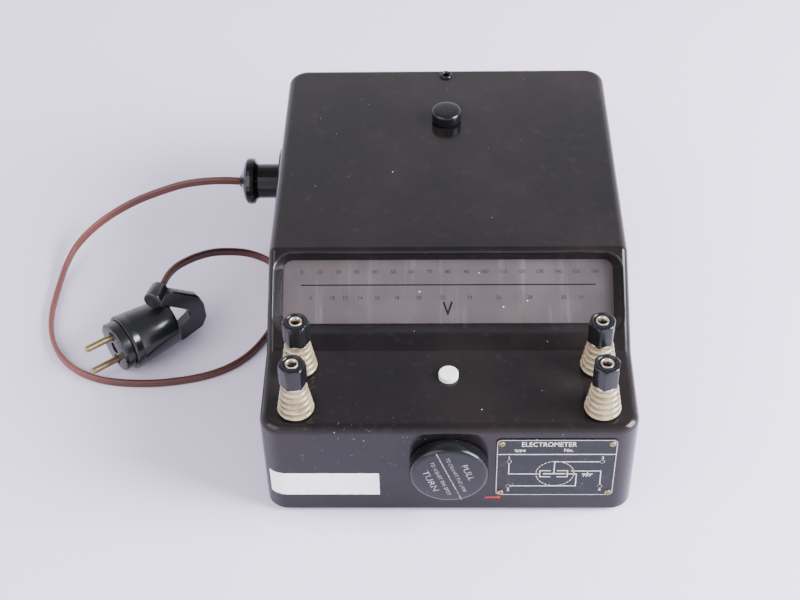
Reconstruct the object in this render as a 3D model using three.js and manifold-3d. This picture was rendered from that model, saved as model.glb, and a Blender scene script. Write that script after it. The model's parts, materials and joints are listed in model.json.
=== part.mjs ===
// A light-spot electrometer: black moulded case, sloping scale window, four insulated terminals,
// a lamp knob in front, a zero knob on top and a mains lead on the left.
// Millimetres, +Z up, front towards -Y. Every part is placed from the front face, centre line and
// underside of the case.
import * as THREE from 'three';
import { ConvexGeometry } from 'three/addons/geometries/ConvexGeometry.js';
import { mergeVertices } from 'three/addons/utils/BufferGeometryUtils.js';
import Module from 'manifold-3d';

const wasm = await Module();
wasm.setup();

// ---- driving sizes ----
const CASE_W = 216;
const CASE_D = 306;
const DECK_H = 71;
const CREST_H = 104;
const REAR_H = 98;
const SLOPE_FOOT = 61;
const SLOPE_TOP = 115;
const WALL = 4;
const CORNER_R = 13;
const EDGE_R = 5;
const FOOT_H = 4;
const GAP = 0.3;

const PLATE_Z = 0.6;
const PLATE_T = 2;
const BENCH = PLATE_Z + PLATE_T + GAP;

const POCKET_DEPTH = 8.5;
const GLASS_T = 3;

const TERMINAL_X = 87;
const TERMINAL_Y = [15, 48];
const INSULATOR_H = 21;
const CAP_H = 15.5;
const WASHER_T = 1;
const STUD_R = 3;

const BUTTON_Y = 40.5;
const BUTTON_R = 5.75;
const BUTTON_OUT = 3.3;

const LAMP_Z = 41;
const KNOB_R = 22.75;
const KNOB_OUT = 10;
const SLEEVE_R = 17;
const SLEEVE_L = 30;

const HEAD_Y = 245;
const HEAD_KNOB_R = 9.7;
const HEAD_KNOB_H = 9;
const FERRULE_Y = 297;

const INLET_Y = 237.5;
const INLET_Z = 55;
const FLANGE_R = 23;
const FLANGE_T = 4.5;
const PIN_OUT = 20;

const CORD_R = 2.9;
const PLUG_R = 19.3;

const slopeAngle = Math.atan2(CREST_H - DECK_H, SLOPE_TOP - SLOPE_FOOT);
const topAngle = Math.atan2(REAR_H - CREST_H, CASE_D - SLOPE_TOP);

function topHeight(y) {
  return CREST_H + (y - SLOPE_TOP) * Math.tan(topAngle);
}

// ---- materials ----
function paint(color, roughness, metalness = 0, extra = {}) {
  return new THREE.MeshStandardMaterial({ color, roughness, metalness, ...extra });
}

const bakelite = paint(0x1c1a1c, 0.25);
const knobBlack = paint(0x141416, 0.35);
const rubber = paint(0x1a1a1a, 0.9);
const sheetSteel = paint(0x7c8084, 0.45, 1);
const brass = paint(0xb08d4a, 0.35, 1);
const nickel = paint(0xb9b4aa, 0.3, 1);
const amber = paint(0xcdbb96, 0.15, 0, { transparent: true, opacity: 0.85 });
const ivory = paint(0xf2f0e6, 0.3);
const frosted = paint(0x7d7074, 0.6);
const silvered = paint(0xd8dce0, 0.05, 1);
const clearGlass = paint(0xe8eef0, 0.05);
const plateBlack = paint(0x26282c, 0.4, 0.3);
const cordBrown = paint(0x6d3b36, 0.55);
const laminations = paint(0x3a3c40, 0.5, 0.8);
const windings = paint(0x8a4a22, 0.5);

// ---- solids ----
function solid(geometry) {
  const bare = geometry.clone();
  bare.deleteAttribute('normal');
  bare.deleteAttribute('uv');
  const welded = mergeVertices(bare, 1e-4);
  const corners = welded.index.array;
  const kept = [];
  for (let i = 0; i < corners.length; i += 3) {
    const [a, b, c] = [corners[i], corners[i + 1], corners[i + 2]];
    if (a !== b && b !== c && c !== a) kept.push(a, b, c);
  }
  const vertProperties = new Float32Array(welded.attributes.position.array);
  const triVerts = new Uint32Array(kept);
  return new wasm.Manifold(new wasm.Mesh({ numProp: 3, vertProperties, triVerts }));
}

function geometryOf(manifold) {
  const mesh = manifold.getMesh();
  const geometry = new THREE.BufferGeometry();
  geometry.setAttribute('position', new THREE.BufferAttribute(mesh.vertProperties, 3));
  geometry.setIndex(new THREE.BufferAttribute(mesh.triVerts, 1));
  const flat = geometry.toNonIndexed();
  flat.computeVertexNormals();
  return flat;
}

function join(...parts) {
  return geometryOf(parts.map(solid).reduce((sum, part) => sum.add(part)));
}

function cut(body, ...tools) {
  return geometryOf(tools.map(solid).reduce((rest, tool) => rest.subtract(tool), solid(body)));
}

// A solid turned about Z from [radius, height] points, listed upwards on the outside.
function turned(profile, segments = 24) {
  const points = profile.map(([r, h]) => new THREE.Vector2(r, h));
  return new THREE.LatheGeometry(points, segments).rotateX(Math.PI / 2);
}

// A tube or ring about Z.
function ring(outer, inner, low, high, segments = 24) {
  return turned([[inner, low], [outer, low], [outer, high], [inner, high], [inner, low]], segments);
}

function rod(radius, low, high, segments = 24) {
  return turned([[0, low], [radius, low], [radius, high], [0, high]], segments);
}

function box(x, y, z, dx, dy, dz) {
  return new THREE.BoxGeometry(dx, dy, dz).translate(x, y, z);
}

function rounded(width, depth, radius) {
  const shape = new THREE.Shape();
  const [x, y] = [width / 2 - radius, depth / 2 - radius];
  shape.absarc(x, y, radius, 0, Math.PI / 2);
  shape.absarc(-x, y, radius, Math.PI / 2, Math.PI);
  shape.absarc(-x, -y, radius, Math.PI, Math.PI * 1.5);
  shape.absarc(x, -y, radius, Math.PI * 1.5, Math.PI * 2);
  return shape;
}

function slab(shape, thickness, curveSegments = 6) {
  return new THREE.ExtrudeGeometry(shape, { depth: thickness, bevelEnabled: false, curveSegments });
}

function polygon(points) {
  return new THREE.Shape(points.map(([x, y]) => new THREE.Vector2(x, y)));
}

// Turned about Z, then laid along Y (front to back) or along X (towards the left).
function alongY(geometry) {
  return geometry.rotateX(-Math.PI / 2);
}

function alongLeft(geometry) {
  return geometry.rotateY(-Math.PI / 2);
}

// ---- the case ----
function offsetLine(y, z, angle, depth) {
  const point = [y + depth * Math.sin(angle), z - depth * Math.cos(angle)];
  return { point, dir: [Math.cos(angle), Math.sin(angle)] };
}

function meet(a, b) {
  const [dy, dz] = [b.point[0] - a.point[0], b.point[1] - a.point[1]];
  const cross = a.dir[0] * b.dir[1] - a.dir[1] * b.dir[0];
  const t = (dy * b.dir[1] - dz * b.dir[0]) / cross;
  return [a.point[0] + t * a.dir[0], a.point[1] + t * a.dir[1]];
}

function ballPoints(x, y, z, r) {
  const ball = new THREE.SphereGeometry(r, 16, 8).rotateX(Math.PI / 2).translate(x, y, z);
  return vectors(ball);
}

function vectors(geometry) {
  const position = geometry.attributes.position;
  const vectorAt = (_, i) => new THREE.Vector3().fromBufferAttribute(position, i);
  return Array.from({ length: position.count }, vectorAt);
}

// A corner post with a filleted top: radius R in plan, fillet r, from floor up to top.
function postPoints(x, y, floor, top, R, r) {
  const points = [];
  const steps = 3;
  for (let i = 0; i < 24; i++) {
    const turn = i * Math.PI / 12;
    const [c, s] = [Math.cos(turn), Math.sin(turn)];
    points.push(new THREE.Vector3(x + R * c, y + R * s, floor));
    for (let j = 0; j <= steps; j++) {
      const lift = j * Math.PI / 2 / steps;
      const reach = R - r + r * Math.cos(lift);
      points.push(new THREE.Vector3(x + reach * c, y + reach * s, top - r + r * Math.sin(lift)));
    }
  }
  return points;
}

// The case's outer form, with every face moved inwards by inset.
function caseForm(inset, floor) {
  const side = CASE_W / 2 - inset;
  const R = CORNER_R - inset;
  const r = Math.max(EDGE_R - inset, 1);
  const deck = DECK_H - inset;
  const slope = offsetLine(SLOPE_FOOT, DECK_H, slopeAngle, inset + r);
  const top = offsetLine(SLOPE_TOP, CREST_H, topAngle, inset + r);
  const crest = meet(slope, top);
  const foot = [slope.point[0] - 10 * slope.dir[0], slope.point[1] - 10 * slope.dir[1]];
  const rearY = CASE_D - inset - R;
  const front = [];
  const rear = [];
  for (const way of [-1, 1]) {
    front.push(...postPoints(way * (side - R), inset + R, floor, deck, R, r));
    front.push(...ballPoints(way * (side - r), SLOPE_FOOT + 14, deck - r, r));
    front.push(new THREE.Vector3(way * side, SLOPE_FOOT + 14, floor));
    rear.push(...ballPoints(way * (side - r), ...foot, r));
    rear.push(...ballPoints(way * (side - r), ...crest, r));
    rear.push(...postPoints(way * (side - R), rearY, floor, topHeight(rearY) - inset, R, r));
    rear.push(new THREE.Vector3(way * side, SLOPE_FOOT - 10, floor));
  }
  return solid(new ConvexGeometry(front)).add(solid(new ConvexGeometry(rear)));
}

// Places slope-local geometry (x across, y up the slope, z outwards) on the sloping face.
function onSlope(geometry) {
  return geometry.rotateX(slopeAngle).translate(0, SLOPE_FOOT, DECK_H);
}

function outline(halfWidth, low, high, radius, z) {
  const shape = rounded(halfWidth * 2, high - low, radius);
  return shape.getPoints(6).map((p) => new THREE.Vector3(p.x, p.y + (low + high) / 2, z));
}

function pocketForm() {
  const rim = [1, 0].flatMap((z) => outline(103.5, 11.5, 59.5, 10, z));
  const floor = outline(98.5, 20, 58, 5, -POCKET_DEPTH - 0.5);
  return onSlope(new ConvexGeometry([...rim, ...floor]));
}

const BOSSES = [[-99, 85], [99, 85], [-99, 285], [99, 285], [-62, 9], [62, 9]];

function housing() {
  const surround = onSlope(box(0, 34, -POCKET_DEPTH / 2 - 1, 220, 54, POCKET_DEPTH - 2));
  const bosses = BOSSES.map(([x, y]) => rod(6, BENCH, 40, 12).translate(x, y, 0));
  const terminalHole = rod(5.4, DECK_H - WALL - 1, DECK_H + 1, 16);
  const sleeveHole = alongY(rod(SLEEVE_R + 0.7, -1, WALL + 1, 32));
  const inletHole = alongLeft(rod(13.4, CASE_W / 2 - WALL - 1, CASE_W / 2 + 1, 24));
  const holes = [
    pocketForm(),
    sleeveHole.translate(0, 0, LAMP_Z),
    inletHole.translate(0, INLET_Y, INLET_Z),
    rod(BUTTON_R + GAP, DECK_H - WALL - 1, DECK_H + 1, 24).translate(0, BUTTON_Y, 0),
    rod(4.4, REAR_H - 9, CREST_H, 16).translate(0, HEAD_Y, 0),
    rod(3.4, REAR_H - 9, CREST_H, 16).translate(0, FERRULE_Y, 0),
    ...terminalSpots().map(([x, y]) => terminalHole.clone().translate(x, y, 0)),
    ...BOSSES.map(([x, y]) => rod(1.7, 0, 18, 8).translate(x, y, 0)),
  ];
  let hollow = caseForm(WALL, -1);
  for (const kept of [surround, ...bosses]) hollow = hollow.subtract(solid(kept));
  let shell = caseForm(0, 0).subtract(hollow);
  for (const hole of holes) shell = shell.subtract(solid(hole));
  return geometryOf(shell);
}

function basePlate() {
  const inset = WALL + 0.4;
  const shape = rounded(CASE_W - 2 * inset, CASE_D - 2 * inset, CORNER_R - inset);
  const plate = slab(shape, PLATE_T).translate(0, CASE_D / 2, PLATE_Z);
  const holes = BOSSES.map(([x, y]) => rod(2, 0, 4, 8).translate(x, y, 0));
  return cut(plate, ...holes);
}

function foot() {
  return turned([[0, -FOOT_H], [7, -FOOT_H], [8, 1 - FOOT_H], [8.5, GAP], [0, GAP]], 20);
}

// ---- terminals ----
function terminalSpots() {
  return [-1, 1].flatMap((way) => TERMINAL_Y.map((y) => [way * TERMINAL_X, y]));
}

// A cone of stacked round ribs with a neck that passes through the deck.
function insulator() {
  const ribs = 5;
  const pitch = (INSULATOR_H - 1) / ribs;
  const profile = [[STUD_R + GAP, -WALL], [5.1, -WALL], [5.1, GAP]];
  for (let i = 0; i < ribs; i++) {
    const radius = 10.4 - i * 0.5;
    const low = GAP + i * pitch;
    profile.push([radius - 1.2, low], [radius, low + pitch * 0.35], [radius - 0.3, low + pitch * 0.75]);
  }
  profile.push([7, INSULATOR_H], [STUD_R + GAP, INSULATOR_H], [STUD_R + GAP, -WALL]);
  return turned(profile, 20);
}

// The threaded stud, with its nut under the deck.
function stud() {
  const nut = rod(5.5, -WALL - 5, -WALL - GAP, 6);
  return join(rod(STUD_R, -WALL - 12, INSULATOR_H + WASHER_T + 9, 16), nut);
}

function cap() {
  const hexagon = rod(8.3, 0, CAP_H, 6);
  const chamfer = turned([[0, 0], [9, 0], [9, CAP_H - 1.6], [6.6, CAP_H], [0, CAP_H]], 24);
  const body = geometryOf(solid(hexagon).intersect(solid(chamfer)));
  return cut(body, rod(STUD_R + GAP, -1, 10.5, 16), rod(2.2, 10, CAP_H + 1, 16));
}

function addTerminals(group) {
  terminalSpots().forEach(([x, y], i) => {
    const post = new THREE.Group();
    post.position.set(x, y, DECK_H);
    group.add(post);
    const lift = INSULATOR_H + GAP;
    add(post, `terminal_${i + 1}_insulator`, insulator(), amber);
    add(post, `terminal_${i + 1}_stud`, stud(), brass);
    add(post, `terminal_${i + 1}_washer`, ring(6.5, STUD_R + GAP, lift, lift + WASHER_T), nickel);
    const hexCap = add(post, `terminal_${i + 1}_cap`, cap(), knobBlack);
    hexCap.position.z = lift + WASHER_T + GAP;
  });
}

// ---- push button and its switch ----
function addButton(group) {
  const deck = new THREE.Group();
  deck.position.set(0, BUTTON_Y, DECK_H);
  group.add(deck);
  const top = BUTTON_OUT;
  const flange = -WALL - GAP;
  add(deck, 'button_cap', turned([
    [0, -11], [1.6, -11], [1.6, flange - 1.2], [7.2, flange - 1.2], [7.2, flange], [BUTTON_R, flange],
    [BUTTON_R, top - 0.8], [BUTTON_R - 0.8, top], [0, top],
  ]), ivory);
  add(deck, 'button_spring', spring(4.2, 0.4, flange - 1.2 - GAP, -9.2), nickel);
  const body = box(0, 0, -13, 22, 14, 7);
  const legs = [-1, 1].map((way) => box(way * 12, 0, -10.4, 3, 14, 12.2));
  add(deck, 'button_switch', cut(join(body, ...legs), rod(2, -13.8, 0, 12)), knobBlack);
}

function spring(radius, wire, high, low) {
  const turns = 3;
  const points = [];
  for (let i = 0; i <= turns * 10; i++) {
    const turn = i * Math.PI / 5;
    const z = low + wire + (high - low - 2 * wire) * i / (turns * 10);
    points.push(new THREE.Vector3(radius * Math.cos(turn), radius * Math.sin(turn), z));
  }
  return tube(points, wire, points.length - 1, 5);
}

function tube(points, radius, steps, sides) {
  const shape = new THREE.Shape();
  shape.absarc(0, 0, radius, 0, Math.PI * 2);
  const extrudePath = new THREE.CatmullRomCurve3(points, false, 'centripetal');
  const outlinePoints = shape.getSpacedPoints(sides).slice(0, sides);
  return new THREE.ExtrudeGeometry(new THREE.Shape(outlinePoints), { steps, extrudePath });
}

// ---- lamp: fixed guide, sliding sleeve, turning knob with its holder and bulb ----
function addLamp(group) {
  const axis = new THREE.Group();
  axis.position.z = LAMP_Z;
  group.add(axis);
  const guideIn = SLEEVE_R + GAP;
  const start = WALL + GAP;
  add(axis, 'lamp_guide', alongY(turned([
    [guideIn, start], [23.5, start], [23.5, start + 2], [guideIn + 1.8, start + 2],
    [guideIn + 1.8, 31], [guideIn, 31], [guideIn, start],
  ], 28)), brass);
  add(axis, 'lamp_sleeve', alongY(ring(SLEEVE_R, 14, 0, SLEEVE_L, 28)), sheetSteel);
  add(axis, 'lamp_knob', alongY(turned([
    [0, -KNOB_OUT], [KNOB_R - 2.5, -KNOB_OUT], [KNOB_R - 0.7, -KNOB_OUT + 0.8],
    [KNOB_R, -KNOB_OUT + 2.6], [KNOB_R, -0.5], [13.7, -0.5], [13.7, 11], [0, 11],
  ], 36)), knobBlack);
  add(axis, 'lamp_holder', alongY(ring(8, 5.2, 11 + GAP, 22, 20)), brass);
  add(axis, 'lamp_bulb', alongY(turned([
    [0, 12], [4.8, 12], [4.8, 22], [6.6, 27], [7, 31], [5.8, 36], [3, 38.6], [0, 39.2],
  ], 16)), clearGlass);
}

// ---- optics ----
function lensHolder() {
  const barrel = alongY(ring(14, 12, 50, 66, 24)).translate(0, 0, LAMP_Z);
  const post = box(0, 58, (BENCH + LAMP_Z - 13) / 2, 12, 12, LAMP_Z - 13 - BENCH);
  return join(barrel, post);
}

function lens() {
  const profile = [];
  for (let i = 0; i <= 8; i++) {
    const sweep = -1 + i / 4;
    profile.push([11.7 * Math.sqrt(1 - sweep * sweep * 0.999), 58 + 4 * sweep]);
  }
  return alongY(turned([[0, 54], ...profile.slice(1, -1), [0, 62]], 20)).translate(0, 0, LAMP_Z);
}

// A sheet frame that stands on the base plate: two legs and a bar that carries a mirror.
function portal(halfWidth, barLow, barHigh, y) {
  const leg = 6;
  const shape = polygon([
    [-halfWidth, BENCH], [leg - halfWidth, BENCH], [leg - halfWidth, barLow], [halfWidth - leg, barLow],
    [halfWidth - leg, BENCH], [halfWidth, BENCH], [halfWidth, barHigh], [-halfWidth, barHigh],
  ]);
  return slab(shape, 2).rotateX(Math.PI / 2).translate(0, y + 2, 0);
}

function addOptics(group) {
  add(group, 'lens_holder', lensHolder(), brass);
  add(group, 'condenser_lens', lens(), clearGlass);
  add(group, 'front_mirror_frame', portal(42, 52, 64, 70), sheetSteel);
  add(group, 'front_mirror', box(0, 74, 58, 72, 3, 11), silvered);
  add(group, 'rear_mirror_frame', portal(80, 72, 93, 216), sheetSteel);
  add(group, 'rear_mirror', box(0, 214, 82.5, 140, 3, 18), silvered);
}

// ---- the scale: frosted glass held behind the sloping pocket ----
function addScale(group) {
  const depth = POCKET_DEPTH + GAP;
  add(group, 'scale_glass', onSlope(box(0, 38.5, -depth - GLASS_T / 2, 203, 44, GLASS_T)), frosted);
  const behind = depth + GLASS_T + GAP;
  const profile = polygon([
    [9, -behind - 1.5], [24, -behind - 1.5], [24, -behind], [15, -behind], [15, -depth], [9, -depth],
  ]);
  [-60, 60].forEach((x, i) => {
    const clip = slab(profile, 14).rotateY(Math.PI / 2).rotateX(Math.PI / 2).translate(x - 7, 0, 0);
    add(group, `scale_clip_${i + 1}`, onSlope(clip), sheetSteel);
  });
}

// ---- the electrometer cell under the torsion head ----
function shieldCan() {
  const can = turned([
    [21.5, 9.5], [23, 9.5], [23, 66], [5, 66], [5, 64.5], [21.5, 64.5], [21.5, 9.5],
  ], 32);
  return cut(can, box(0, -22, LAMP_Z, 16, 8, 16));
}

function cellInsulator() {
  const posts = [-1, 1].map((way) => rod(2.5, 8, 17, 10).translate(way * 11, 0, 0));
  return join(rod(24, BENCH, 9.2, 28), ...posts);
}

// A box electrode: two plates and a back wall, open towards the vane.
function binant(way) {
  const shape = polygon([
    [3, 17.3], [18, 17.3], [18, 27.3], [3, 27.3], [3, 26.3], [17, 26.3], [17, 18.3], [3, 18.3],
  ].map(([x, z]) => [way * x, z]));
  return slab(shape, 20).rotateX(Math.PI / 2).translate(0, 10, 0);
}

function addCell(group) {
  const cell = new THREE.Group();
  cell.position.y = HEAD_Y;
  group.add(cell);
  add(cell, 'shield_can', shieldCan(), brass);
  add(cell, 'cell_insulator', cellInsulator(), amber);
  add(cell, 'electrode_left', binant(-1), nickel);
  add(cell, 'electrode_right', binant(1), nickel);
  const paddle = box(0, 0, 22.3, 28, 9, 0.6);
  add(cell, 'vane', join(rod(0.8, 20, 55, 8), paddle), sheetSteel);
  add(cell, 'vane_mirror', box(0, -1.8, LAMP_Z, 9, 1, 9), silvered);
  const surface = topHeight(HEAD_Y);
  add(cell, 'torsion_spindle', rod(4, 61.6, surface, 16), brass);
  const low = surface + 2.2 * GAP;
  const high = low + HEAD_KNOB_H;
  add(cell, 'zero_knob', turned([
    [0, low], [HEAD_KNOB_R - 0.6, low], [HEAD_KNOB_R, low + 0.6], [HEAD_KNOB_R, high - 1.2],
    [HEAD_KNOB_R - 1.2, high], [0, high],
  ], 32), knobBlack);
}

// ---- the ferrule that guides the rear fixing screw ----
function addFerrule(group) {
  const surface = topHeight(FERRULE_Y);
  const rim = [
    [2.2, surface - 5], [3.1, surface - 5], [3.1, surface + 2 * GAP], [4.25, surface + 2 * GAP],
    [4.25, surface + 1.2], [3.4, surface + 1.9], [2.2, surface + 1.9], [2.2, surface - 5],
  ];
  add(group, 'top_ferrule', turned(rim, 20), knobBlack).position.y = FERRULE_Y;
}

// ---- mains side: inlet, transformer, connector, cord and plug ----
function addInlet(group) {
  const port = new THREE.Group();
  port.position.set(-CASE_W / 2, INLET_Y, INLET_Z);
  group.add(port);
  const barrel = [
    [0, -WALL - 9], [13, -WALL - 9], [13, GAP], [FLANGE_R, GAP], [FLANGE_R, FLANGE_T - 1.5],
    [FLANGE_R - 1.5, FLANGE_T], [0, FLANGE_T],
  ];
  const pinSpots = [-6, 6];
  const bores = pinSpots.map((z) => rod(2.6, -20, 10, 12).translate(z, 0, 0));
  add(port, 'inlet_flange', alongLeft(cut(turned(barrel, 32), ...bores)), bakelite);
  pinSpots.forEach((z, i) => {
    add(port, `inlet_pin_${i + 1}`, alongLeft(rod(2.3, -18, PIN_OUT, 12).translate(z, 0, 0)), brass);
  });
  const start = FLANGE_T + GAP;
  const body = turned([
    [0, start], [11.7, start], [11.7, 19.5], [13, 21.2], [15.3, 22.3], [15.8, 24.6], [15.3, 27.2],
    [13, 28.8], [9.5, 29.8], [5, 31.4], [3.4, 28.3 + FLANGE_T], [0, 28.3 + FLANGE_T],
  ], 28);
  const sockets = bores.map((bore) => bore.clone().translate(0, 0, 11));
  add(port, 'connector', alongLeft(cut(body, ...sockets)), knobBlack);
}

function addTransformer(group) {
  const unit = new THREE.Group();
  unit.position.set(-62, 172, BENCH + 22.5);
  group.add(unit);
  const windows = [-1, 1].map((way) => box(way * 13.5, 0, 0, 9, 20, 27));
  add(unit, 'transformer_core', cut(box(0, 0, 0, 54, 18, 45), ...windows), laminations);
  const coil = rounded(35.2, 38, 4);
  coil.holes.push(rounded(18.8, 18.8, 0.5));
  add(unit, 'transformer_coil', slab(coil, 26, 4).translate(0, 0, -13), windings);
}

// The lead's centre line: a list laid by hand, from the connector round to the plug.
const CORD_ROUTE = [
  [-141.2, 237.5, 55], [-150, 238, 55], [-160, 239, 54], [-172, 240.5, 51.5], [-184, 242, 47.5],
  [-199, 243, 41], [-214, 243, 34], [-228, 241.5, 26.5], [-241, 238, 19], [-252, 232, 12],
  [-260, 223, 6.5], [-264.5, 211, 2.5], [-266.5, 197, 0], [-267.5, 182, -1], [-267.2, 166, -1],
  [-264.8, 150, -1], [-259.5, 135, -1], [-250.5, 121.5, -1], [-238, 111, -1], [-221, 104, -1],
  [-199, 101.5, -1], [-177.5, 103, -1], [-157, 108, -1], [-141.5, 116, -1], [-130, 127, -1],
  [-121, 142, -1], [-115.5, 158, -1], [-112.8, 175, -1], [-112.2, 190, -1], [-114.8, 202, 0.2],
  [-121, 211, 2.6], [-129.8, 215.3, 5.2], [-139.5, 214.6, 9.6], [-149.5, 209.2, 15.6],
  [-158.5, 200.6, 22.8], [-166.5, 190, 29.4], [-174, 177.5, 35.5], [-179, 168, 38.8],
  [-182.5, 159, 40.2], [-184.7, 150.4, 40.2],
];

function addCord(group) {
  const points = CORD_ROUTE.map(([x, y, z]) => new THREE.Vector3(x, y, z));
  add(group, 'mains_cord', tube(points, CORD_R, 78, 8), cordBrown);
}

// The plug's own frame: +Z along the pins, +X from the lower pin to the upper one.
function plugFrame() {
  const frame = new THREE.Group();
  const heading = THREE.MathUtils.degToRad(38);
  const lean = THREE.MathUtils.degToRad(5);
  const pins = new THREE.Vector3(-Math.cos(heading), -Math.sin(heading), 0);
  const level = new THREE.Vector3(-Math.sin(heading), Math.cos(heading), 0);
  const up = level.multiplyScalar(Math.sin(lean)).add(new THREE.Vector3(0, 0, Math.cos(lean)));
  const side = new THREE.Vector3().crossVectors(pins, up);
  frame.quaternion.setFromRotationMatrix(new THREE.Matrix4().makeBasis(up, side, pins));
  frame.position.set(-214.8, 117.5, PLUG_R + GAP - FOOT_H);
  return frame;
}

// The pull loop's outline behind the body: a flat triangle with a window for a finger.
function pullLoop() {
  const loop = polygon([
    [14, -36], [21, -38], [21, -46], [9, -63.5], [1.5, -66.5], [-9.5, -66.5], [-15.5, -62.5],
    [-19, -46], [-14, -36],
  ]);
  const window = polygon([[12, -43.5], [0, -56], [-8, -57], [-10.5, -43.5]]);
  const eye = cut(slab(loop, 9).translate(0, 0, -4.5), slab(window, 20).translate(0, 0, -10));
  return eye.rotateX(Math.PI / 2);
}

function addPlug(group) {
  const frame = plugFrame();
  group.add(frame);
  const body = turned([
    [0, -41.5], [14.2, -41.5], [15.8, -40], [PLUG_R - 0.6, -5], [PLUG_R, -4.2], [PLUG_R, -3], [0, -3],
  ], 32);
  const boss = rod(6, -8, 8, 20).rotateX(THREE.MathUtils.degToRad(37)).translate(25, 0, -37);
  add(frame, 'plug_cover', join(body, pullLoop(), boss), knobBlack);
  const insert = [[0, GAP - 3], [16.5, GAP - 3], [16.5, -0.8], [15.7, 0], [0, 0]];
  add(frame, 'plug_base', turned(insert, 28), knobBlack);
  [9.5, -9.5].forEach((x, i) => {
    const pin = turned([[0, GAP], [2.2, GAP], [2.2, 18], [1.2, 19.3], [0, 19.3]], 12).translate(x, 0, 0);
    add(frame, `plug_pin_${i + 1}`, pin, brass);
  });
}

// ---- plates on the front ----
function addFront(group) {
  const plate = slab(rounded(68.4, 48.6, 3), 1).rotateX(Math.PI / 2).translate(61.4, -GAP, 36.9);
  add(group, 'circuit_plate', plate, plateBlack);
}

// ---- assembly ----
function add(group, name, geometry, material) {
  const mesh = new THREE.Mesh(geometry, material);
  mesh.name = name;
  group.add(mesh);
  return mesh;
}

const electrometer = new THREE.Group();
electrometer.position.set(PIN_OUT / 2, (KNOB_OUT - CASE_D) / 2, FOOT_H);
add(electrometer, 'housing', housing(), bakelite);
add(electrometer, 'base_plate', basePlate(), sheetSteel);
[[-92, 24], [92, 24], [-92, 282], [92, 282]].forEach(([x, y], i) => {
  add(electrometer, `foot_${i + 1}`, foot(), rubber).position.set(x, y, 0);
});
addFront(electrometer);
addTerminals(electrometer);
addButton(electrometer);
addLamp(electrometer);
addOptics(electrometer);
addScale(electrometer);
addCell(electrometer);
addFerrule(electrometer);
addInlet(electrometer);
addTransformer(electrometer);
addCord(electrometer);
addPlug(electrometer);

export default electrometer;
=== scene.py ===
"""A light-spot electrometer with its mains lead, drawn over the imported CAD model.

Positions are written in millimetres from the case's front face, centre line and underside, and
at() turns them into the row frame's metres.
"""

import json
import math
import random

import bmesh
import bpy
from mathutils import Matrix, Vector


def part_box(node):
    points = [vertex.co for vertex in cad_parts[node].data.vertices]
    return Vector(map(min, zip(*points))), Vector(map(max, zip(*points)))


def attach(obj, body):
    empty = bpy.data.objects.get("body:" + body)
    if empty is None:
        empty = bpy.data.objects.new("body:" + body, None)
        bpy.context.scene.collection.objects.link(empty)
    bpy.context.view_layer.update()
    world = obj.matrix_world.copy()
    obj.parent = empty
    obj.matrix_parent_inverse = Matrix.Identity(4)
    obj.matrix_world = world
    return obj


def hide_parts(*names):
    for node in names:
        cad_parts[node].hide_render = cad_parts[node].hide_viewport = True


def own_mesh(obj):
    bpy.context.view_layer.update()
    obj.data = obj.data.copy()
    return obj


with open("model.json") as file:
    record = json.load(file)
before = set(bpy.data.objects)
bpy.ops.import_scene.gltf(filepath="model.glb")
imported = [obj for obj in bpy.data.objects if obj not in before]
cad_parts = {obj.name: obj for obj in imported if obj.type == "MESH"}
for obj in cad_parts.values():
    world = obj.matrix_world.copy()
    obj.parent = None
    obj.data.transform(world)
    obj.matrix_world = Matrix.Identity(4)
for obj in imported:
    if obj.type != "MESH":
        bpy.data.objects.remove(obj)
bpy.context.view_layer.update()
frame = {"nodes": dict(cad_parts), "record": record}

MM = 0.001
case_low, case_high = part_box("housing")
ORIGIN = Vector(((case_low.x + case_high.x) / 2, case_low.y, case_low.z))


def at(x, y, z):
    return ORIGIN + Vector((x, y, z)) * MM


def placed(x, y, z):
    """A matrix from millimetres about a point of the case to the row frame."""
    return Matrix.Translation(at(x, y, z)) @ Matrix.Scale(MM, 4)


def turned(degrees, axis="Z"):
    """A rotation about one axis."""
    return Matrix.Rotation(math.radians(degrees), 4, axis)


def linked(name, data):
    """A new object of the scene that holds some data."""
    item = bpy.data.objects.new(name, data)
    bpy.context.scene.collection.objects.link(item)
    return item


def mesh_of(name, bm):
    """A mesh made from a bmesh, which is then freed."""
    mesh = bpy.data.meshes.new(name)
    bm.to_mesh(mesh)
    bm.free()
    return mesh


# ---- camera ----
# Its place in the row frame's metres, and how many degrees it looks down, right and turns anticlockwise.
CAMERA_PLACE = (0.0040, -0.7071, 0.7205)
CAMERA_ANGLES = (44.21, -2.0, -1.58)
SENSOR_WIDTH = 36
LENS = 68.2


def add_camera():
    pitch, yaw, roll = (math.radians(a) for a in CAMERA_ANGLES)
    forward = Vector((math.sin(yaw) * math.cos(pitch), math.cos(yaw) * math.cos(pitch), -math.sin(pitch)))
    right = Vector((math.cos(yaw), -math.sin(yaw), 0))
    up = right.cross(forward)
    across = right * math.cos(roll) + up * math.sin(roll)
    upright = up * math.cos(roll) - right * math.sin(roll)
    data = bpy.data.cameras.new("camera")
    data.sensor_width = SENSOR_WIDTH
    data.lens = LENS
    camera = linked("camera", data)
    axes = Matrix((across, upright, -forward)).transposed().to_4x4()
    camera.matrix_world = Matrix.Translation(CAMERA_PLACE) @ axes
    bpy.context.scene.camera = camera


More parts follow.
